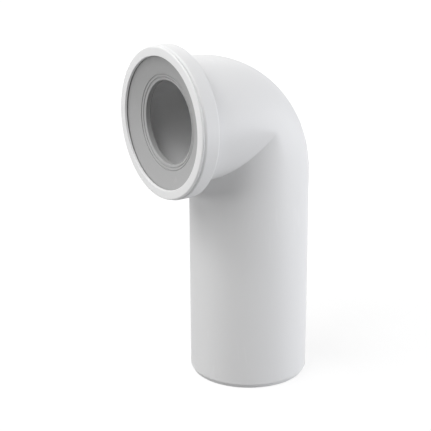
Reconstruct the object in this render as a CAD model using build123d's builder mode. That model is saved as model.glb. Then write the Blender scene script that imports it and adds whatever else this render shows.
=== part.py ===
from build123d import *
from math import atan2, degrees, sqrt
import os

# A toilet connection elbow: a plain pipe end goes down into the drain, and a square bend
# leads to a cup that holds a soft seal for the outlet of the toilet pan. Inside the angle the
# two runs meet in a sharp mitre, and outside it the bend is turned about the throat.
# Millimetres, +Z up. The origin is the middle of the pipe's lower end, and the inlet faces -Y.

# Pipe and bend
pipe_radius = 55.0
pipe_wall = 3.4
axis_height = 250.0
throat_gap = 1.0
lead_in_depth = 2.2
lead_in_length = 4.0
pipe_end_easing = 0.6

# Inlet cup, with depths counted from the front face of the retaining ring
inlet_reach = 95.4
inlet_depth = 16.8
cup_radius = 67.2
cup_wall = 3.2
shoulder_thickness = 3.4
cup_front_rounding = 1.4
cup_back_rounding = 1.2
cup_root_rounding = 1.5
branch_mouth_easing = 0.8

# The shallow valley outside, where the ring lands on the cup
seam_depth = 0.6
seam_run_on_lip = 0.9
seam_run_on_cup = 1.6

# Retaining ring: the lip in front, and the collar that snaps into the cup
lip_step = 0.8
lip_thickness = 2.6
lip_rounding = 1.4
lip_back_rounding = 0.8
mouth_depth = 2.1
mouth_overhang = 3.25
mouth_taper = 0.5
mouth_rounding = 0.5
collar_wall = 2.2
collar_length = 6.9
collar_clearance = 0.15
collar_tip_easing = 0.4
snap_height = 0.5
snap_ramp = 0.6
snap_land = 0.6
snap_setback = 1.2
snap_clearance = 0.1

# Seal: a flange on the cup's shoulder, a hub inside the collar, and a funnel with a sleeve
hole_radius = 36.8
hole_depth = 8.9
face_setback = 1.0
web_root_thickness = 2.6
web_tip_thickness = 2.2
sleeve_length = 5.0
sleeve_wall = 2.0
hole_rounding = 0.8
sleeve_end_easing = 0.5
sleeve_root_rounding = 1.6
hub_clearance = 0.15
hub_wall = 2.8
flange_clearance = 0.15
flange_overhang = 1.6
groove_offsets = (2.6, 5.1)
groove_width = 0.9
groove_depth = 0.6

# Sizes that follow from the ones above
bore_radius = pipe_radius - pipe_wall
bend_radius = pipe_radius + throat_gap
straight_height = axis_height - bend_radius
cup_bore = cup_radius - cup_wall
shoulder_depth = inlet_depth - shoulder_thickness
lip_radius = cup_radius - lip_step
seam_radius = lip_radius - seam_depth
collar_radius = cup_bore - collar_clearance
collar_bore = collar_radius - collar_wall
collar_end = lip_thickness + collar_length
mouth_radius = collar_bore - mouth_overhang
mouth_back_radius = mouth_radius - mouth_taper
snap_end = collar_end - snap_setback
snap_start = snap_end - 2 * snap_ramp - snap_land
hub_radius = collar_bore - hub_clearance
hub_bore = hub_radius - hub_wall
flange_bore = hub_bore - flange_overhang
flange_radius = cup_bore - flange_clearance
face_depth = mouth_depth + face_setback
sleeve_radius = hole_radius + sleeve_wall
sleeve_end = hole_depth + sleeve_length

# The profiles of the inlet are drawn as (depth, radius) and turned about the branch's axis
inlet_plane = Plane(origin=(0, -inlet_reach, axis_height), x_dir=(0, 1, 0), z_dir=(1, 0, 0))
inlet_axis = Axis((0, -inlet_reach, axis_height), (0, 1, 0))
bend_axis = Axis((0, -bend_radius, straight_height), (1, 0, 0))
branch_plane = Plane(origin=(0, -bend_radius, axis_height), x_dir=(1, 0, 0), z_dir=(0, -1, 0))
mitre_plane = Plane(origin=(0, 0, axis_height), x_dir=(1, 0, 0), z_dir=(0, -1, 1))


def throat_wedge():
    """The region inside the angle, up to the two parabolas where a mitred and a turned rod cross."""
    corner = bend_radius * (3 - 2 * sqrt(2))
    pull = bend_radius * (sqrt(2) - 1)
    with BuildPart() as wedge:
        with BuildSketch(Plane.YZ):
            with BuildLine():
                Polyline((-bend_radius, axis_height), (-bend_radius, straight_height), (0, straight_height))
                Bezier(
                    (0, straight_height),
                    (0, straight_height + pull),
                    (-corner, axis_height - corner),
                )
                Bezier(
                    (-corner, axis_height - corner),
                    (pull - bend_radius, axis_height),
                    (-bend_radius, axis_height),
                )
            make_face()
        extrude(amount=bend_radius, both=True)
    return wedge.part


def bend_rod(radius, wedge):
    """The bend as a solid rod: two mitred runs inside the angle, and a quarter turn outside it."""
    with BuildPart() as mitred:
        with BuildSketch(Plane.XY.offset(straight_height)) as run_end:
            Circle(radius)
        with BuildSketch(mitre_plane) as mitre_section:
            Ellipse(radius, radius * sqrt(2))
        loft([run_end.sketch, mitre_section.sketch], ruled=True)
        mirror(about=mitre_plane)
        add(wedge, mode=Mode.INTERSECT)
    with BuildPart() as rod:
        with BuildSketch(Plane.XY.offset(straight_height)) as bend_section:
            Circle(radius)
        revolve(bend_section.sketch, axis=bend_axis, revolution_arc=90)
        add(wedge, mode=Mode.SUBTRACT)
        add(mitred.part)
    return rod.part


def branch_rod(radius, length, mode):
    """The straight branch from the end of the bend towards the inlet, as a solid rod."""
    with BuildSketch(branch_plane) as branch_section:
        Circle(radius)
    extrude(branch_section.sketch, amount=length, mode=mode)


def circle_edge(part, radius, depth):
    """The part's round edge of this radius about the branch's axis, at this depth."""
    middle = (0, depth - inlet_reach, axis_height)
    rims = part.edges().filter_by(GeomType.CIRCLE).filter_by(lambda e: abs(e.radius - radius) < 0.01)
    return rims.sort_by(lambda e: (e.arc_center - Vector(*middle)).length)[0]


# Elbow body: pipe, bend, branch and cup in one moulding
inside_angle = throat_wedge()
outer_bend = bend_rod(pipe_radius, inside_angle)
bore_bend = bend_rod(bore_radius, inside_angle)
with BuildPart() as elbow_body:
    with BuildSketch(Plane.XZ):
        with BuildLine():
            Polyline(
                (0, 0),
                (pipe_radius - lead_in_depth, 0),
                (pipe_radius, lead_in_length),
                (pipe_radius, straight_height),
                (0, straight_height),
                close=True,
            )
        make_face()
    revolve(axis=Axis.Z)
    add(outer_bend)
    shoulder_middle = inlet_depth - shoulder_thickness / 2
    branch_rod(pipe_radius, inlet_reach - bend_radius - shoulder_middle, Mode.ADD)

    # The cup, sloping down to the seam where the ring lands on it and rounded at the back
    with BuildSketch(inlet_plane):
        with BuildLine():
            Polyline(
                (lip_thickness, 0),
                (lip_thickness, seam_radius),
                (lip_thickness + seam_run_on_cup, cup_radius),
                (inlet_depth, cup_radius),
                (inlet_depth, 0),
                close=True,
            )
        make_face()
        rim_corners = vertices().group_by(Axis.Y)[-1].sort_by(Axis.X)
        fillet(rim_corners[0], cup_front_rounding)
        fillet(rim_corners[-1], cup_back_rounding)
    revolve(axis=inlet_axis)
    fillet(circle_edge(elbow_body.part, pipe_radius, inlet_depth), cup_root_rounding)

    # The bore of the whole way
    with BuildSketch():
        Circle(bore_radius)
    extrude(amount=straight_height, mode=Mode.SUBTRACT)
    add(bore_bend, mode=Mode.SUBTRACT)
    branch_rod(bore_radius, inlet_reach - bend_radius, Mode.SUBTRACT)

    # The room for the seal and the collar, with a groove that takes the snap bead
    with BuildSketch(inlet_plane):
        with BuildLine():
            Polyline(
                (0, 0),
                (0, cup_bore),
                (snap_start - snap_clearance, cup_bore),
                (snap_start + snap_ramp - snap_clearance, cup_bore + snap_height),
                (snap_end - snap_ramp + snap_clearance, cup_bore + snap_height),
                (snap_end + snap_clearance, cup_bore),
                (shoulder_depth, cup_bore),
                (shoulder_depth, 0),
                close=True,
            )
        make_face()
    revolve(axis=inlet_axis, mode=Mode.SUBTRACT)

    # Eased edges at the pipe's mouth and where the cup opens into the branch
    pipe_mouth = edges().filter_by(GeomType.CIRCLE).group_by(Axis.Z)[0].sort_by(SortBy.RADIUS)[0]
    chamfer(pipe_mouth, pipe_end_easing)
    chamfer(circle_edge(elbow_body.part, bore_radius, shoulder_depth), branch_mouth_easing)
elbow_body.part.label = "elbow_body"

# Retaining ring: its lip lands on the cup's end, and its snap bead sits in the cup's groove
with BuildPart() as retaining_ring:
    with BuildSketch(inlet_plane):
        with BuildLine():
            Polyline(
                (0, mouth_radius),
                (0, lip_radius),
                (lip_thickness - seam_run_on_lip, lip_radius),
                (lip_thickness, seam_radius),
                (lip_thickness, collar_radius),
                (snap_start, collar_radius),
                (snap_start + snap_ramp, collar_radius + snap_height),
                (snap_end - snap_ramp, collar_radius + snap_height),
                (snap_end, collar_radius),
                (collar_end, collar_radius),
                (collar_end, collar_bore),
                (mouth_depth, collar_bore),
                (mouth_depth, mouth_back_radius),
                close=True,
            )
        make_face()
        lip_corners = vertices().group_by(Axis.Y)[-1].sort_by(Axis.X)
        fillet(lip_corners[0], lip_rounding)
        fillet(lip_corners[-1], lip_back_rounding)
        fillet(vertices().sort_by_distance((0, mouth_radius))[0], mouth_rounding)
        chamfer(vertices().sort_by_distance((collar_end, collar_radius))[0], collar_tip_easing)
    revolve(axis=inlet_axis)
retaining_ring.part.label = "retaining_ring"

# Seal: the collar presses its flange on the shoulder, and the funnel hangs from its hub
with BuildPart() as inlet_seal:
    with BuildSketch(inlet_plane):
        with BuildLine():
            Polyline(
                (face_depth, hub_radius),
                (face_depth, mouth_back_radius),
                (hole_depth, hole_radius),
                (sleeve_end, hole_radius),
                (sleeve_end, sleeve_radius),
                (hole_depth + web_tip_thickness, sleeve_radius),
                (face_depth + web_root_thickness, hub_bore),
                (collar_end, hub_bore),
                (collar_end, flange_bore),
                (shoulder_depth, flange_bore),
                (shoulder_depth, flange_radius),
                (collar_end, flange_radius),
                (collar_end, hub_radius),
                close=True,
            )
        make_face()
        fillet(vertices().sort_by_distance((hole_depth, hole_radius))[0], hole_rounding)
        sleeve_corners = vertices().group_by(Axis.X)[-1].sort_by(Axis.Y)
        chamfer(sleeve_corners[0:2], sleeve_end_easing)
        sleeve_root = vertices().sort_by_distance((hole_depth + web_tip_thickness, sleeve_radius))[0]
        fillet(sleeve_root, sleeve_root_rounding)

        # The two fine grooves round the hole are cut square into the funnel's sloping face
        face_rise = hole_depth - face_depth
        face_run = mouth_back_radius - hole_radius
        groove_places = [
            (hole_depth - offset * face_rise / face_run, hole_radius + offset)
            for offset in groove_offsets
        ]
        with Locations(*groove_places):
            Rectangle(
                2 * groove_depth,
                groove_width,
                rotation=degrees(atan2(face_rise, face_run)),
                mode=Mode.SUBTRACT,
            )
    revolve(axis=inlet_axis)
inlet_seal.part.label = "inlet_seal"

os.makedirs("parts", exist_ok=True)
export_step(elbow_body.part, "parts/elbow_body.step")
export_step(retaining_ring.part, "parts/retaining_ring.step")
export_step(inlet_seal.part, "parts/inlet_seal.step")
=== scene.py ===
import bpy
import math
from mathutils import Matrix, Vector


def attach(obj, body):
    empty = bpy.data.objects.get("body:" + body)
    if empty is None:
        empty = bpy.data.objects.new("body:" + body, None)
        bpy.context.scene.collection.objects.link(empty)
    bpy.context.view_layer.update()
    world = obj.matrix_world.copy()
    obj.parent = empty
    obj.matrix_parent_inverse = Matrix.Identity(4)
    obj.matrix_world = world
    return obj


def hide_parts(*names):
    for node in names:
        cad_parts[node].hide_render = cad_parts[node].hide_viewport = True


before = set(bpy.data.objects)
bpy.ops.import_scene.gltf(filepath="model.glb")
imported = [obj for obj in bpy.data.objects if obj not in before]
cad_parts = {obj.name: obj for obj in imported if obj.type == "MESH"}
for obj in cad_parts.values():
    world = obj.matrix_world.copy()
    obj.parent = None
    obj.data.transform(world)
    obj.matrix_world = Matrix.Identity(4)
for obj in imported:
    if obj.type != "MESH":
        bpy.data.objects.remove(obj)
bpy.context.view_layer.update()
print("frame loaded:", ", ".join(sorted(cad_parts)))

mm = 0.001

# The way through the elbow: up the pipe, round the bend and out along the branch.
# All lengths of the object are in millimetres.
way = {
    "straightLength": 194.0,
    "bendRadius": 56.0,
    "inletReach": 95.4,
    "turnSteps": 256,
    "stepInBend": 2.0,
    "stepOnStraight": 10.0,
    "creaseWidth": 1.0,
    "ridgeBlend": 1.0,
    "mergeDistance": 0.002,
    "touch": 0.01,  # slack in telling what lies in the bend
}
bendLength = way["bendRadius"] * math.pi / 2
bendStart = way["straightLength"]
bendEnd = bendStart + bendLength
inletFace = bendEnd + way["inletReach"] - way["bendRadius"]

# A rounded corner's arc has this many steps. The points that hold the flat faces beside it stand
# this far off, or at this share of the face's length where that is shorter.
arc = {"steps": 5, "hold": 0.12, "holdShare": 0.1}


# Each corner is (distance along the way, radius, rounding). The corners of a section run
# clockwise, with the way to the right and the radius upwards, so that the faces point outwards.
def roundCorners(corners, steps=arc["steps"], hold=arc["hold"]):
    points = []
    for i, (along, radius, rounding) in enumerate(corners):
        here = Vector((along, radius))
        before = Vector(corners[i - 1][:2]) - here
        after = Vector(corners[(i + 1) % len(corners)][:2]) - here
        if rounding == 0:
            points.append(here)
            continue
        towards, onwards = before.normalized(), after.normalized()
        half = towards.angle(onwards) / 2
        reach = rounding / math.tan(half)
        middle = here + (towards + onwards).normalized() * (rounding / math.sin(half))
        start = here + towards * reach - middle
        turn = start.angle_signed(here + onwards * reach - middle)
        points.append(here + towards * (reach + min(hold, before.length * arc["holdShare"])))
        for k in range(steps + 1):
            angle = -turn * k / steps
            spun = Vector((start.x * math.cos(angle) - start.y * math.sin(angle),
                           start.x * math.sin(angle) + start.y * math.cos(angle)))
            points.append(middle + spun)
        points.append(here + onwards * (reach + min(hold, after.length * arc["holdShare"])))
    return points


# Long runs along the way get more points, closer together in the bend. They are always cut
# where the bend starts and ends, and in the middle, where the crease is.
def divideRuns(points):
    crease, half = (bendStart + bendEnd) / 2, way["creaseWidth"] / 2
    marks = (bendStart, crease - half, crease, crease + half, bendEnd)
    divided = []
    for i, here in enumerate(points):
        divided.append(here)
        there = points[(i + 1) % len(points)]
        low, high = sorted((here.x, there.x))
        passed = sorted((m for m in marks if low < m < high), reverse=there.x < here.x)
        cuts = [here.lerp(there, (m - here.x) / (there.x - here.x)) for m in passed]
        stops = [here, *cuts, there]
        for a, b in zip(stops, stops[1:]):
            if a is not here:
                divided.append(a)
            near, far = min(a.x, b.x), max(a.x, b.x)
            inBend = bendStart - way["touch"] <= near and far <= bendEnd + way["touch"]
            step = way["stepInBend"] if inBend else way["stepOnStraight"]
            parts = max(1, math.ceil(abs(b.x - a.x) / step))
            divided += [a.lerp(b, k / parts) for k in range(1, parts)]
    return divided


def addNode(tree, kind, inputs=(), **settings):
    node = tree.nodes.new(kind)
    for name, value in settings.items():
        setattr(node, name, value)
    for socket, value in dict(inputs).items():
        if isinstance(value, bpy.types.NodeSocket):
            tree.links.new(value, node.inputs[socket])
        else:
            node.inputs[socket].default_value = value
    return node


def calc(tree, operation, a, b=None, c=None):
    given = {i: v for i, v in enumerate((a, b, c)) if v is not None}
    return addNode(tree, "ShaderNodeMath", given, operation=operation).outputs[0]


def buildTurnedAlongWay():
    tree = bpy.data.node_groups.new("turnedAlongWay", "GeometryNodeTree")
    face = tree.interface
    face.new_socket(name="Profile", in_out="INPUT", socket_type="NodeSocketGeometry")
    for name, kind, value in (
        ("Turn Steps", "NodeSocketInt", 128),
        ("Straight Length", "NodeSocketFloat", 0.2),
        ("Bend Radius", "NodeSocketFloat", 0.05),
        ("Ridge Blend", "NodeSocketFloat", 0.001),
        ("Merge Distance", "NodeSocketFloat", 0.00001),
    ):
        face.new_socket(name=name, in_out="INPUT", socket_type=kind).default_value = value
    face.new_socket(name="Finish", in_out="INPUT", socket_type="NodeSocketMaterial")
    face.new_socket(name="Surface", in_out="OUTPUT", socket_type="NodeSocketGeometry")
    given = tree.nodes.new("NodeGroupInput").outputs
    steps, straight, bend = (given[k] for k in ("Turn Steps", "Straight Length", "Bend Radius"))

    def work(*terms):
        return calc(tree, *terms)

    def square(value):
        return work("MULTIPLY", value, value)

    # A grid with one row for each profile point and one column for each turn step.
    rows = addNode(tree, "GeometryNodeAttributeDomainSize", {0: given["Profile"]}, component="MESH")
    rowCount = rows.outputs["Point Count"]
    grid = addNode(tree, "GeometryNodeMeshGrid", {
        "Size X": rowCount,
        "Size Y": steps,
        "Vertices X": work("ADD", rowCount, 1.0),
        "Vertices Y": work("ADD", steps, 1.0),
    })
    position = addNode(tree, "GeometryNodeInputPosition").outputs[0]
    place = addNode(tree, "ShaderNodeSeparateXYZ", {0: position}).outputs
    row = work("ROUND", work("MULTIPLY_ADD", rowCount, 0.5, place["X"]))
    column = work("ROUND", work("MULTIPLY_ADD", steps, 0.5, place["Y"]))

    # The profile point of this row gives the distance along the way and the radius.
    picked = addNode(tree, "GeometryNodeSampleIndex", {
        "Geometry": given["Profile"],
        "Value": addNode(tree, "GeometryNodeInputPosition").outputs[0],
        "Index": work("FLOORED_MODULO", row, rowCount),
    }, data_type="FLOAT_VECTOR")
    point = addNode(tree, "ShaderNodeSeparateXYZ", {0: picked.outputs[0]}).outputs
    along, profileRadius = point["X"], point["Y"]
    angle = work("MULTIPLY", work("DIVIDE", column, steps), 2 * math.pi)
    across, aside = work("COSINE", angle), work("SINE", angle)

    # Past the straight the way turns by up to a quarter, and what is left over runs straight on.
    quarter = math.pi / 2
    past = work("SUBTRACT", along, straight)
    turned = work("MINIMUM", work("MAXIMUM", work("DIVIDE", past, bend), 0.0), quarter)
    spare = work("SUBTRACT", past, work("MULTIPLY", turned, bend))

    # Inside the angle the two straight runs meet in a mitre, so the section there is part of the
    # ellipse that its plane cuts from the nearer run: a r^2 + b r + c = 0 along each spoke.
    lean = work("COSINE", work("MINIMUM", turned, work("SUBTRACT", quarter, turned)))
    shift = work("MULTIPLY", bend, work("SUBTRACT", lean, 1.0))
    leaning = work("MULTIPLY", lean, across)
    a = work("ADD", square(leaning), square(aside))
    b = work("MULTIPLY", work("MULTIPLY", leaning, shift), 2.0)
    c = work("SUBTRACT", square(shift), square(profileRadius))
    underRoot = work("SUBTRACT", square(b), work("MULTIPLY", work("MULTIPLY", a, c), 4.0))
    above = work("SUBTRACT", work("SQRT", underRoot), b)
    mitred = work("DIVIDE", above, work("MULTIPLY", a, 2.0))

    # The crease is eased by the ridge blend, most of all halfway round the bend.
    halfway = work("SINE", work("MULTIPLY", turned, 2.0))
    easing = work("MULTIPLY", given["Ridge Blend"], square(halfway))
    radius = work("SMOOTH_MIN", profileRadius, mitred, easing)

    # Each point stands on its spoke, which is square to the way.
    arm = work("ADD", bend, work("MULTIPLY", radius, across))
    cosine, sine = work("COSINE", turned), work("SINE", turned)
    turnedY = work("SUBTRACT", work("MULTIPLY", arm, cosine), work("MULTIPLY", spare, sine))
    turnedZ = work("ADD", work("MULTIPLY", arm, sine), work("MULTIPLY", spare, cosine))
    spot = addNode(tree, "ShaderNodeCombineXYZ", {
        "X": work("MULTIPLY", radius, aside),
        "Y": work("SUBTRACT", turnedY, bend),
        "Z": work("ADD", turnedZ, straight),
    })
    moved = addNode(tree, "GeometryNodeSetPosition", {
        "Geometry": grid.outputs["Mesh"],
        "Position": spot.outputs[0],
    })
    merged = addNode(tree, "GeometryNodeMergeByDistance", {
        "Geometry": moved.outputs[0],
        "Distance": given["Merge Distance"],
    })
    smooth = addNode(tree, "GeometryNodeSetShadeSmooth", {"Geometry": merged.outputs[0]})
    real = addNode(tree, "GeometryNodeRealizeInstances", {"Geometry": smooth.outputs[0]})
    finished = addNode(tree, "GeometryNodeSetMaterial", {
        "Geometry": real.outputs[0],
        "Material": given["Finish"],
    })
    addNode(tree, "NodeGroupOutput", {"Surface": finished.outputs[0]})
    return tree


turnedAlongWay = buildTurnedAlongWay()


# The profile is the object's own mesh; the finished piece is a plain mesh with no modifier.
def turnPiece(name, corners, material, **rounding):
    points = divideRuns(roundCorners(corners, **rounding))
    edges = [(i, (i + 1) % len(points)) for i in range(len(points))]
    profile = bpy.data.meshes.new(name + "Profile")
    profile.from_pydata([(p.x * mm, p.y * mm, 0) for p in points], edges, [])
    piece = bpy.data.objects.new(name, profile)
    bpy.context.collection.objects.link(piece)
    modifier = piece.modifiers.new("turned", "NODES")
    modifier.node_group = turnedAlongWay
    values = {
        "Turn Steps": way["turnSteps"],
        "Straight Length": way["straightLength"] * mm,
        "Bend Radius": way["bendRadius"] * mm,
        "Ridge Blend": way["ridgeBlend"] * mm,
        "Merge Distance": way["mergeDistance"] * mm,
        "Finish": material,
    }
    for item in turnedAlongWay.interface.items_tree:
        if item.in_out == "INPUT" and item.name in values:
            modifier[item.identifier] = values[item.name]
    evaluated = piece.evaluated_get(bpy.context.evaluated_depsgraph_get())
    mesh = bpy.data.meshes.new_from_object(evaluated)
    piece.modifiers.clear()
    piece.data = mesh
    mesh.name = name
    bpy.data.meshes.remove(profile)
    print(name, "turned:", len(points), "profile points,", len(mesh.polygons), "faces")
    return piece


def buildGroup(name, inputs):
    tree = bpy.data.node_groups.new(name, "ShaderNodeTree")
    for label, kind, value in inputs:
        socket = tree.interface.new_socket(name=label, in_out="INPUT", socket_type=kind)
        socket.default_value = value
    for label, kind in (
        ("Colour", "NodeSocketColor"),
        ("Roughness", "NodeSocketFloat"),
        ("Height", "NodeSocketFloat"),
    ):
        tree.interface.new_socket(name=label, in_out="OUTPUT", socket_type=kind)
    return tree, tree.nodes.new("NodeGroupInput").outputs


def noise(tree, place, scale, detail):
    values = {"Vector": place, "Scale": scale, "Detail": detail}
    return addNode(tree, "ShaderNodeTexNoise", values).outputs


def mixColours(tree, share, first, second):
    return addNode(tree, "ShaderNodeMix", {0: share, 6: first, 7: second}, data_type="RGBA").outputs[2]


skinForm = {"flowPerDrift": 9.0, "driftShare": 0.5, "grainShare": 0.7}


# Fine matt grain of a mould, with slow drifts in the shade and in the gloss.
def buildMouldedSkin():
    tree, given = buildGroup("mouldedSkin", [
        ("Place", "NodeSocketVector", (0, 0, 0)),
        ("Colour", "NodeSocketColor", (0.8, 0.8, 0.8, 1)),
        ("Deeper Colour", "NodeSocketColor", (0.7, 0.7, 0.7, 1)),
        ("Drift Scale", "NodeSocketFloat", 14.0),
        ("Grain Scale", "NodeSocketFloat", 2500.0),
        ("Roughness", "NodeSocketFloat", 0.4),
        ("Roughness Spread", "NodeSocketFloat", 0.05),
    ])
    flowScale = calc(tree, "MULTIPLY", given["Drift Scale"], skinForm["flowPerDrift"])
    drift = noise(tree, given["Place"], given["Drift Scale"], 3.0)[0]
    grain = noise(tree, given["Place"], given["Grain Scale"], 2.0)[0]
    flow = noise(tree, given["Place"], flowScale, 4.0)[0]

    def blend(first, second, share):
        rest = calc(tree, "MULTIPLY", second, 1.0 - share)
        return calc(tree, "ADD", calc(tree, "MULTIPLY", first, share), rest)

    centred = calc(tree, "SUBTRACT", blend(drift, flow, skinForm["driftShare"]), 0.5)
    addNode(tree, "NodeGroupOutput", {
        "Colour": mixColours(tree, drift, given["Colour"], given["Deeper Colour"]),
        "Roughness": calc(tree, "MULTIPLY_ADD", centred, given["Roughness Spread"], given["Roughness"]),
        "Height": blend(grain, flow, skinForm["grainShare"]),
    })
    return tree


mouldedSkin = buildMouldedSkin()

rubForm = {"patchEdge": (0.5, 0.72), "streakEdge": (0.54, 0.7), "waver": 0.02, "wear": 0.4}


# Faint rubs from handling: patches of fine streaks, a little paler and smoother than the rest.
def buildHandlingRubs():
    tree, given = buildGroup("handlingRubs", [
        ("Place", "NodeSocketVector", (0, 0, 0)),
        ("Colour", "NodeSocketColor", (0.8, 0.8, 0.8, 1)),
        ("Rub Colour", "NodeSocketColor", (0.9, 0.9, 0.9, 1)),
        ("Roughness", "NodeSocketFloat", 0.4),
        ("Height", "NodeSocketFloat", 0.5),
        ("Patch Scale", "NodeSocketFloat", 18.0),
        ("Streak Scale", "NodeSocketFloat", 220.0),
        ("Streak Stretch", "NodeSocketVector", (1.0, 1.0, 0.08)),
        ("Amount", "NodeSocketFloat", 0.3),
        ("Polish", "NodeSocketFloat", 0.1),
    ])

    def pick(value, edge):
        return addNode(tree, "ShaderNodeMapRange", {
            "Value": value, "From Min": edge[0], "From Max": edge[1],
        }, interpolation_type="SMOOTHSTEP").outputs[0]

    def move(operation, inputs):
        return addNode(tree, "ShaderNodeVectorMath", inputs, operation=operation).outputs[0]

    patches = noise(tree, given["Place"], given["Patch Scale"], 2.0)
    bent = move("SCALE", {0: patches[1], 3: rubForm["waver"]})
    drawn = move("MULTIPLY", {0: move("ADD", {0: given["Place"], 1: bent}), 1: given["Streak Stretch"]})
    streaks = noise(tree, drawn, given["Streak Scale"], 3.0)
    where, lines = pick(patches[0], rubForm["patchEdge"]), pick(streaks[0], rubForm["streakEdge"])
    mask = calc(tree, "MULTIPLY", calc(tree, "MULTIPLY", where, lines), given["Amount"])
    polished = calc(tree, "MULTIPLY", mask, given["Polish"])
    worn = calc(tree, "MULTIPLY", mask, rubForm["wear"])
    addNode(tree, "NodeGroupOutput", {
        "Colour": mixColours(tree, mask, given["Colour"], given["Rub Colour"]),
        "Roughness": calc(tree, "SUBTRACT", given["Roughness"], polished),
        "Height": calc(tree, "SUBTRACT", given["Height"], worn),
    })
    return tree


handlingRubs = buildHandlingRubs()


def placeGroup(tree, group, values, links):
    node = addNode(tree, "ShaderNodeGroup", node_tree=group)
    for label, value in values.items():
        node.inputs[label].default_value = value
    for label, socket in links.items():
        tree.links.new(socket, node.inputs[label])
    return node.outputs


def mouldedMaterial(name, look):
    material = bpy.data.materials.new(name)
    material.use_nodes = True
    tree = material.node_tree
    tree.nodes.clear()
    place = addNode(tree, "ShaderNodeTexCoord").outputs["Object"]
    skin = placeGroup(tree, mouldedSkin, look["skin"], {"Place": place})
    links = {label: skin[label] for label in ("Colour", "Roughness", "Height")}
    rubbed = placeGroup(tree, handlingRubs, look["rubs"], {"Place": place, **links})
    bump = addNode(tree, "ShaderNodeBump", {
        "Height": rubbed["Height"],
        "Strength": look["grainStrength"],
        "Distance": look["grainDepth"] * mm,
    })
    shader = addNode(tree, "ShaderNodeBsdfPrincipled", {
        "Base Color": rubbed["Colour"],
        "Roughness": rubbed["Roughness"],
        "Normal": bump.outputs["Normal"],
        "IOR": look["ior"],
    })
    addNode(tree, "ShaderNodeOutputMaterial", {"Surface": shader.outputs[0]})
    return material


whiteLook = {
    "skin": {
        "Colour": (0.81, 0.81, 0.812, 1), "Deeper Colour": (0.79, 0.79, 0.792, 1),
        "Drift Scale": 9.0, "Grain Scale": 1400.0,
        "Roughness": 0.52, "Roughness Spread": 0.12,
    },
    "rubs": {
        "Rub Colour": (0.86, 0.86, 0.862, 1), "Patch Scale": 16.0, "Streak Scale": 260.0,
        "Amount": 0.5, "Polish": 0.12,
    },
    "grainStrength": 0.12,
    "grainDepth": 0.05,
    "ior": 1.49,
}
ringLook = {
    "skin": {
        "Colour": (0.85, 0.85, 0.85, 1), "Deeper Colour": (0.83, 0.83, 0.83, 1),
        "Drift Scale": 12.0, "Grain Scale": 1400.0,
        "Roughness": 0.4, "Roughness Spread": 0.12,
    },
    "rubs": {
        "Rub Colour": (0.88, 0.88, 0.88, 1), "Patch Scale": 22.0, "Streak Scale": 260.0,
        "Amount": 0.5, "Polish": 0.12,
    },
    "grainStrength": 0.12,
    "grainDepth": 0.05,
    "ior": 1.49,
}
sealLook = {
    "skin": {
        "Colour": (0.41, 0.41, 0.41, 1), "Deeper Colour": (0.39, 0.39, 0.39, 1),
        "Drift Scale": 20.0, "Grain Scale": 1100.0,
        "Roughness": 0.55, "Roughness Spread": 0.15,
    },
    "rubs": {
        "Rub Colour": (0.46, 0.46, 0.46, 1), "Patch Scale": 30.0, "Streak Scale": 160.0,
        "Streak Stretch": (1.0, 0.3, 1.0), "Amount": 0.6, "Polish": 0.08,
    },
    "grainStrength": 0.25,
    "grainDepth": 0.06,
    "ior": 1.45,
}
whitePlastic = mouldedMaterial("whitePlastic", whiteLook)
ringPlastic = mouldedMaterial("ringPlastic", ringLook)
greySeal = mouldedMaterial("greySeal", sealLook)
print("materials ready")


body = {
    "pipeRadius": 55.0, "pipeWall": 3.4,
    "leadInDepth": 2.2, "leadInLength": 4.0, "leadInFoot": 0.25, "leadInTop": 0.8,
    "endEasing": 0.6, "mouthEasing": 0.8, "edgeEasing": 0.2,
    "inletDepth": 16.8, "cupRadius": 67.2, "cupWall": 3.2, "shoulder": 3.4,
    "cupFrontRounding": 1.4, "cupBackRounding": 1.2, "rootRounding": 1.5,
    "lipThickness": 2.6, "seamRadius": 65.8, "seamRun": 1.6, "seamEasing": 0.1, "faceEasing": 0.15,
    "snapStart": 6.5, "snapEnd": 8.3, "snapRamp": 0.6, "snapHeight": 0.5, "snapClearance": 0.1,
}


# The pipe, the branch and the cup as one section, from the pipe's lower end to the cup and back
# along the bore.
def elbowCorners():
    bore = body["pipeRadius"] - body["pipeWall"]
    cupBore = body["cupRadius"] - body["cupWall"]
    cupBack = inletFace - body["inletDepth"]
    cupFront = inletFace - body["lipThickness"]
    shoulder = cupBack + body["shoulder"]
    snapStart = inletFace - body["snapStart"] + body["snapClearance"]
    snapEnd = inletFace - body["snapEnd"] - body["snapClearance"]
    snapFloor = cupBore + body["snapHeight"]
    easing = body["edgeEasing"]
    return [
        (0, bore + body["endEasing"], easing),
        (0, body["pipeRadius"] - body["leadInDepth"], body["leadInFoot"]),
        (body["leadInLength"], body["pipeRadius"], body["leadInTop"]),
        (cupBack, body["pipeRadius"], body["rootRounding"]),
        (cupBack, body["cupRadius"], body["cupBackRounding"]),
        (cupFront - body["seamRun"], body["cupRadius"], body["cupFrontRounding"]),
        (cupFront, body["seamRadius"], body["seamEasing"]),
        (cupFront, cupBore, body["faceEasing"]),
        (snapStart, cupBore, 0),
        (snapStart - body["snapRamp"], snapFloor, 0),
        (snapEnd + body["snapRamp"], snapFloor, 0),
        (snapEnd, cupBore, 0),
        (shoulder, cupBore, easing),
        (shoulder, bore + body["mouthEasing"], easing),
        (shoulder - body["mouthEasing"], bore, easing),
        (body["endEasing"], bore, easing),
    ]


elbowBody = turnPiece("elbowBody", elbowCorners(), whitePlastic)
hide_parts("elbow_body")
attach(elbowBody, "root")


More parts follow.
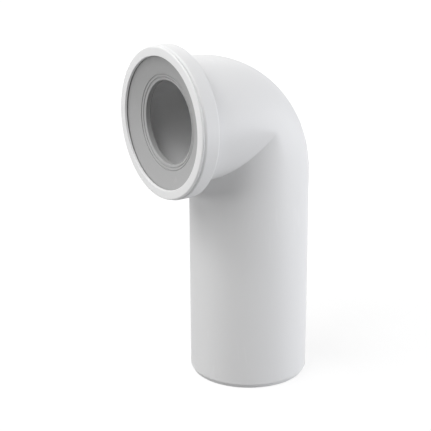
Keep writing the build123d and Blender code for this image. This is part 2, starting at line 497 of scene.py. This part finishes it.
ring = {
    "lipRadius": 66.4, "lipThickness": 2.6, "lipRounding": 1.4, "lipBackRounding": 0.8,
    "seamRadius": 65.8, "seamRun": 0.9, "seamEasing": 0.1,
    "mouthRadius": 58.4, "mouthBackRadius": 57.9, "mouthDepth": 2.1, "mouthRounding": 0.5,
    "collarRadius": 63.85, "collarBore": 61.65, "collarEnd": 9.5, "tipEasing": 0.4,
    "snapStart": 6.5, "snapEnd": 8.3, "snapRamp": 0.6, "snapHeight": 0.5,
    "edgeEasing": 0.2, "arcSteps": 8,
}


# The sections at the inlet give each corner's depth behind the inlet's face.
def fromInlet(places):
    return [(inletFace - depth, radius, rounding) for depth, radius, rounding in places]


def ringCorners():
    collar, snapTop = ring["collarRadius"], ring["collarRadius"] + ring["snapHeight"]
    return fromInlet([
        (ring["mouthDepth"], ring["mouthBackRadius"], ring["edgeEasing"]),
        (ring["mouthDepth"], ring["collarBore"], 0),
        (ring["collarEnd"], ring["collarBore"], ring["edgeEasing"]),
        (ring["collarEnd"], collar - ring["tipEasing"], 0),
        (ring["collarEnd"] - ring["tipEasing"], collar, 0),
        (ring["snapEnd"], collar, 0),
        (ring["snapEnd"] - ring["snapRamp"], snapTop, 0),
        (ring["snapStart"] + ring["snapRamp"], snapTop, 0),
        (ring["snapStart"], collar, 0),
        (ring["lipThickness"], collar, 0),
        (ring["lipThickness"], ring["seamRadius"], ring["seamEasing"]),
        (ring["lipThickness"] - ring["seamRun"], ring["lipRadius"], ring["lipBackRounding"]),
        (0, ring["lipRadius"], ring["lipRounding"]),
        (0, ring["mouthRadius"], ring["mouthRounding"]),
    ])


retainingRing = turnPiece("retainingRing", ringCorners(), ringPlastic, steps=ring["arcSteps"])
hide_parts("retaining_ring")
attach(retainingRing, "root")


seal = {
    "holeRadius": 36.8, "holeDepth": 8.9, "holeRounding": 0.8,
    "faceDepth": 3.1, "faceRadius": 57.9, "faceRounding": 0.3,
    "rootThickness": 2.6, "tipThickness": 2.2,
    "sleeveRadius": 38.8, "sleeveEnd": 13.9, "sleeveEasing": 0.4, "sleeveRootRounding": 1.6,
    "hubRadius": 61.5, "hubBore": 58.7, "hubRootEasing": 0.1, "collarEnd": 9.5,
    "flangeBore": 57.1, "flangeRadius": 63.85, "shoulderDepth": 13.4,
    "grooveOffsets": (5.1, 2.6), "grooveWidth": 0.9, "grooveDepth": 0.6,
    "grooveEdgeEasing": 0.12, "grooveFloorEasing": 0.1,
    "edgeEasing": 0.2, "arcHold": 0.06,
}


# The grooves are cut square into the sloping face, the one farther from the hole first.
def grooveCorners():
    rise, run = seal["holeDepth"] - seal["faceDepth"], seal["faceRadius"] - seal["holeRadius"]
    half = Vector((-rise, run)).normalized() * seal["grooveWidth"] / 2
    floor = Vector((run, rise)).normalized() * seal["grooveDepth"]
    edge, foot = seal["grooveEdgeEasing"], seal["grooveFloorEasing"]
    corners = []
    for offset in seal["grooveOffsets"]:
        middle = Vector((seal["holeDepth"] - offset * rise / run, seal["holeRadius"] + offset))
        outer, inner = middle + half, middle - half
        corners += [(*outer, edge), (*(outer + floor), foot), (*(inner + floor), foot), (*inner, edge)]
    return corners


def sealCorners():
    easing = seal["edgeEasing"]
    sleeveRoot = seal["holeDepth"] + seal["tipThickness"]
    return fromInlet([
        (seal["faceDepth"], seal["hubRadius"], easing),
        (seal["faceDepth"], seal["faceRadius"], seal["faceRounding"]),
        *grooveCorners(),
        (seal["holeDepth"], seal["holeRadius"], seal["holeRounding"]),
        (seal["sleeveEnd"], seal["holeRadius"], seal["sleeveEasing"]),
        (seal["sleeveEnd"], seal["sleeveRadius"], seal["sleeveEasing"]),
        (sleeveRoot, seal["sleeveRadius"], seal["sleeveRootRounding"]),
        (seal["faceDepth"] + seal["rootThickness"], seal["hubBore"], easing),
        (seal["collarEnd"], seal["hubBore"], easing),
        (seal["collarEnd"], seal["flangeBore"], easing),
        (seal["shoulderDepth"], seal["flangeBore"], easing),
        (seal["shoulderDepth"], seal["flangeRadius"], easing),
        (seal["collarEnd"], seal["flangeRadius"], easing),
        (seal["collarEnd"], seal["hubRadius"], seal["hubRootEasing"]),
    ])


inletSeal = turnPiece("inletSeal", sealCorners(), greySeal, hold=seal["arcHold"])
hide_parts("inlet_seal")
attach(inletSeal, "root")


# What the camera, gloss and glass see of the floor and sky is white; the object is lit by the
# plainer colour and strength beside it. Lengths of the stage are in metres.
stage = {
    "floorSize": 14.0,
    "floorColour": (0.33, 0.33, 0.33, 1),
    "shadowColour": (0.25, 0.25, 0.25, 1),
    "glowNear": 0.8,
    "glowFar": 1.0,
    "glowReach": (0.25, 1.1),
    "skyColour": (1, 1, 1, 1),
    "skySeen": 1.0,
    "skyStrength": 0.2,
}


def seenRays(tree):
    rays = addNode(tree, "ShaderNodeLightPath").outputs
    direct = calc(tree, "MAXIMUM", rays["Is Camera Ray"], rays["Is Glossy Ray"])
    return calc(tree, "MAXIMUM", direct, rays["Is Transmission Ray"])


# The floor glows a little less round the object, so that the object's shadow shows there.
def floorMaterial():
    material = bpy.data.materials.new("floorWhite")
    material.use_nodes = True
    tree = material.node_tree
    tree.nodes.clear()
    lit = addNode(tree, "ShaderNodeBsdfDiffuse", {"Color": stage["floorColour"]})
    faint = addNode(tree, "ShaderNodeBsdfDiffuse", {"Color": stage["shadowColour"]})
    spot = addNode(tree, "ShaderNodeTexCoord").outputs["Object"]
    away = addNode(tree, "ShaderNodeVectorMath", {0: spot}, operation="LENGTH").outputs["Value"]
    start, end = stage["glowReach"]
    level = addNode(tree, "ShaderNodeMapRange", {
        "Value": away,
        "From Min": start,
        "From Max": end,
        "To Min": stage["glowNear"],
        "To Max": stage["glowFar"],
    })
    glow = addNode(tree, "ShaderNodeEmission", {"Strength": level.outputs[0]})
    shown = addNode(tree, "ShaderNodeAddShader", {0: faint.outputs[0], 1: glow.outputs[0]})
    mixed = addNode(tree, "ShaderNodeMixShader", {
        0: seenRays(tree), 1: lit.outputs[0], 2: shown.outputs[0],
    })
    addNode(tree, "ShaderNodeOutputMaterial", {"Surface": mixed.outputs[0]})
    return material


def buildFloor():
    half = stage["floorSize"] / 2
    corners = [(-half, -half, 0), (half, -half, 0), (half, half, 0), (-half, half, 0)]
    mesh = bpy.data.meshes.new("paleFloor")
    mesh.from_pydata(corners, [], [(0, 1, 2, 3)])
    mesh.materials.append(floorMaterial())
    floor = bpy.data.objects.new("paleFloor", mesh)
    bpy.context.collection.objects.link(floor)


def buildSky():
    world = bpy.data.worlds.new("studio")
    bpy.context.scene.world = world
    world.use_nodes = True
    tree = world.node_tree
    tree.nodes.clear()
    strength = addNode(tree, "ShaderNodeMix", {
        0: seenRays(tree), 2: stage["skyStrength"], 3: stage["skySeen"],
    }, data_type="FLOAT")
    sky = addNode(tree, "ShaderNodeBackground", {
        "Color": stage["skyColour"],
        "Strength": strength.outputs[0],
    })
    addNode(tree, "ShaderNodeOutputWorld", {"Surface": sky.outputs[0]})


neutralLight = (1.0, 1.0, 1.0)
coolLight = (0.955, 0.968, 1.0)

# Each lamp is a soft panel: the azimuth from +X and the elevation of the direction towards it,
# its distance, width and height in metres, its power and its colour.
lamps = {
    "left": (225, 42, 2.2, 1.0, 1.0, 7.0, neutralLight),
    "above": (260, 65, 2.2, 1.4, 1.4, 17.0, neutralLight),
    "front": (284, 42, 2.2, 1.4, 1.4, 15.8, neutralLight),
    "lowFront": (262, 8, 2.2, 0.9, 0.5, 7.4, neutralLight),
    "right": (63, 8, 2.2, 1.9, 0.5, 16.5, coolLight),
    "lowRight": (35, -4, 1.3, 0.7, 0.12, 6.8, coolLight),
    "backFill": (145, 40, 2.2, 1.4, 1.4, 9.0, neutralLight),
}
aim = Vector((0, -20, 160)) * mm  # the middle of the elbow


def buildLamps():
    for name, (azimuth, elevation, distance, width, height, power, colour) in lamps.items():
        a, e = math.radians(azimuth), math.radians(elevation)
        towards = Vector((math.cos(a) * math.cos(e), math.sin(a) * math.cos(e), math.sin(e)))
        light = bpy.data.lights.new(name, "AREA")
        light.shape, light.size, light.size_y = "RECTANGLE", width, height
        light.energy, light.color = power, colour
        lamp = bpy.data.objects.new(name, light)
        lamp.location = aim + towards * distance
        lamp.rotation_euler = towards.to_track_quat("Z", "Y").to_euler()
        bpy.context.collection.objects.link(lamp)


# The azimuth is counted from -Y towards +X. The camera looks at a point at this height, this far
# sideways of the pipe's axis. The focal length is in pixels of an image of this width.
shot = {
    "azimuth": 55.45, "elevation": 17.48, "roll": -0.29,
    "distance": 1071.42, "sideways": -30.8, "height": 150.4,
    "focalPixels": 1153.72, "imageWidth": 431,
    "sensorWidth": 36.0, "clip": (0.01, 50),
}


def buildCamera():
    a, e, r = (math.radians(shot[k]) for k in ("azimuth", "elevation", "roll"))
    back = Vector((math.sin(a) * math.cos(e), -math.cos(a) * math.cos(e), math.sin(e)))
    level = Vector((math.cos(a), math.sin(a), 0))
    upright = back.cross(level)
    right = math.cos(r) * level + math.sin(r) * upright
    up = math.cos(r) * upright - math.sin(r) * level
    target = level * shot["sideways"] + Vector((0, 0, shot["height"]))
    data = bpy.data.cameras.new("photoView")
    data.sensor_width = shot["sensorWidth"]
    data.lens = shot["sensorWidth"] * shot["focalPixels"] / shot["imageWidth"]
    data.clip_start, data.clip_end = shot["clip"]
    camera = bpy.data.objects.new("photoView", data)
    turn = Matrix((right, up, back)).transposed().to_4x4()
    camera.matrix_world = Matrix.Translation((target + back * shot["distance"]) * mm) @ turn
    bpy.context.collection.objects.link(camera)
    bpy.context.scene.camera = camera


buildFloor()
buildSky()
buildLamps()
buildCamera()
bpy.context.scene.view_settings.view_transform = "Standard"
print("floor, light and camera ready")
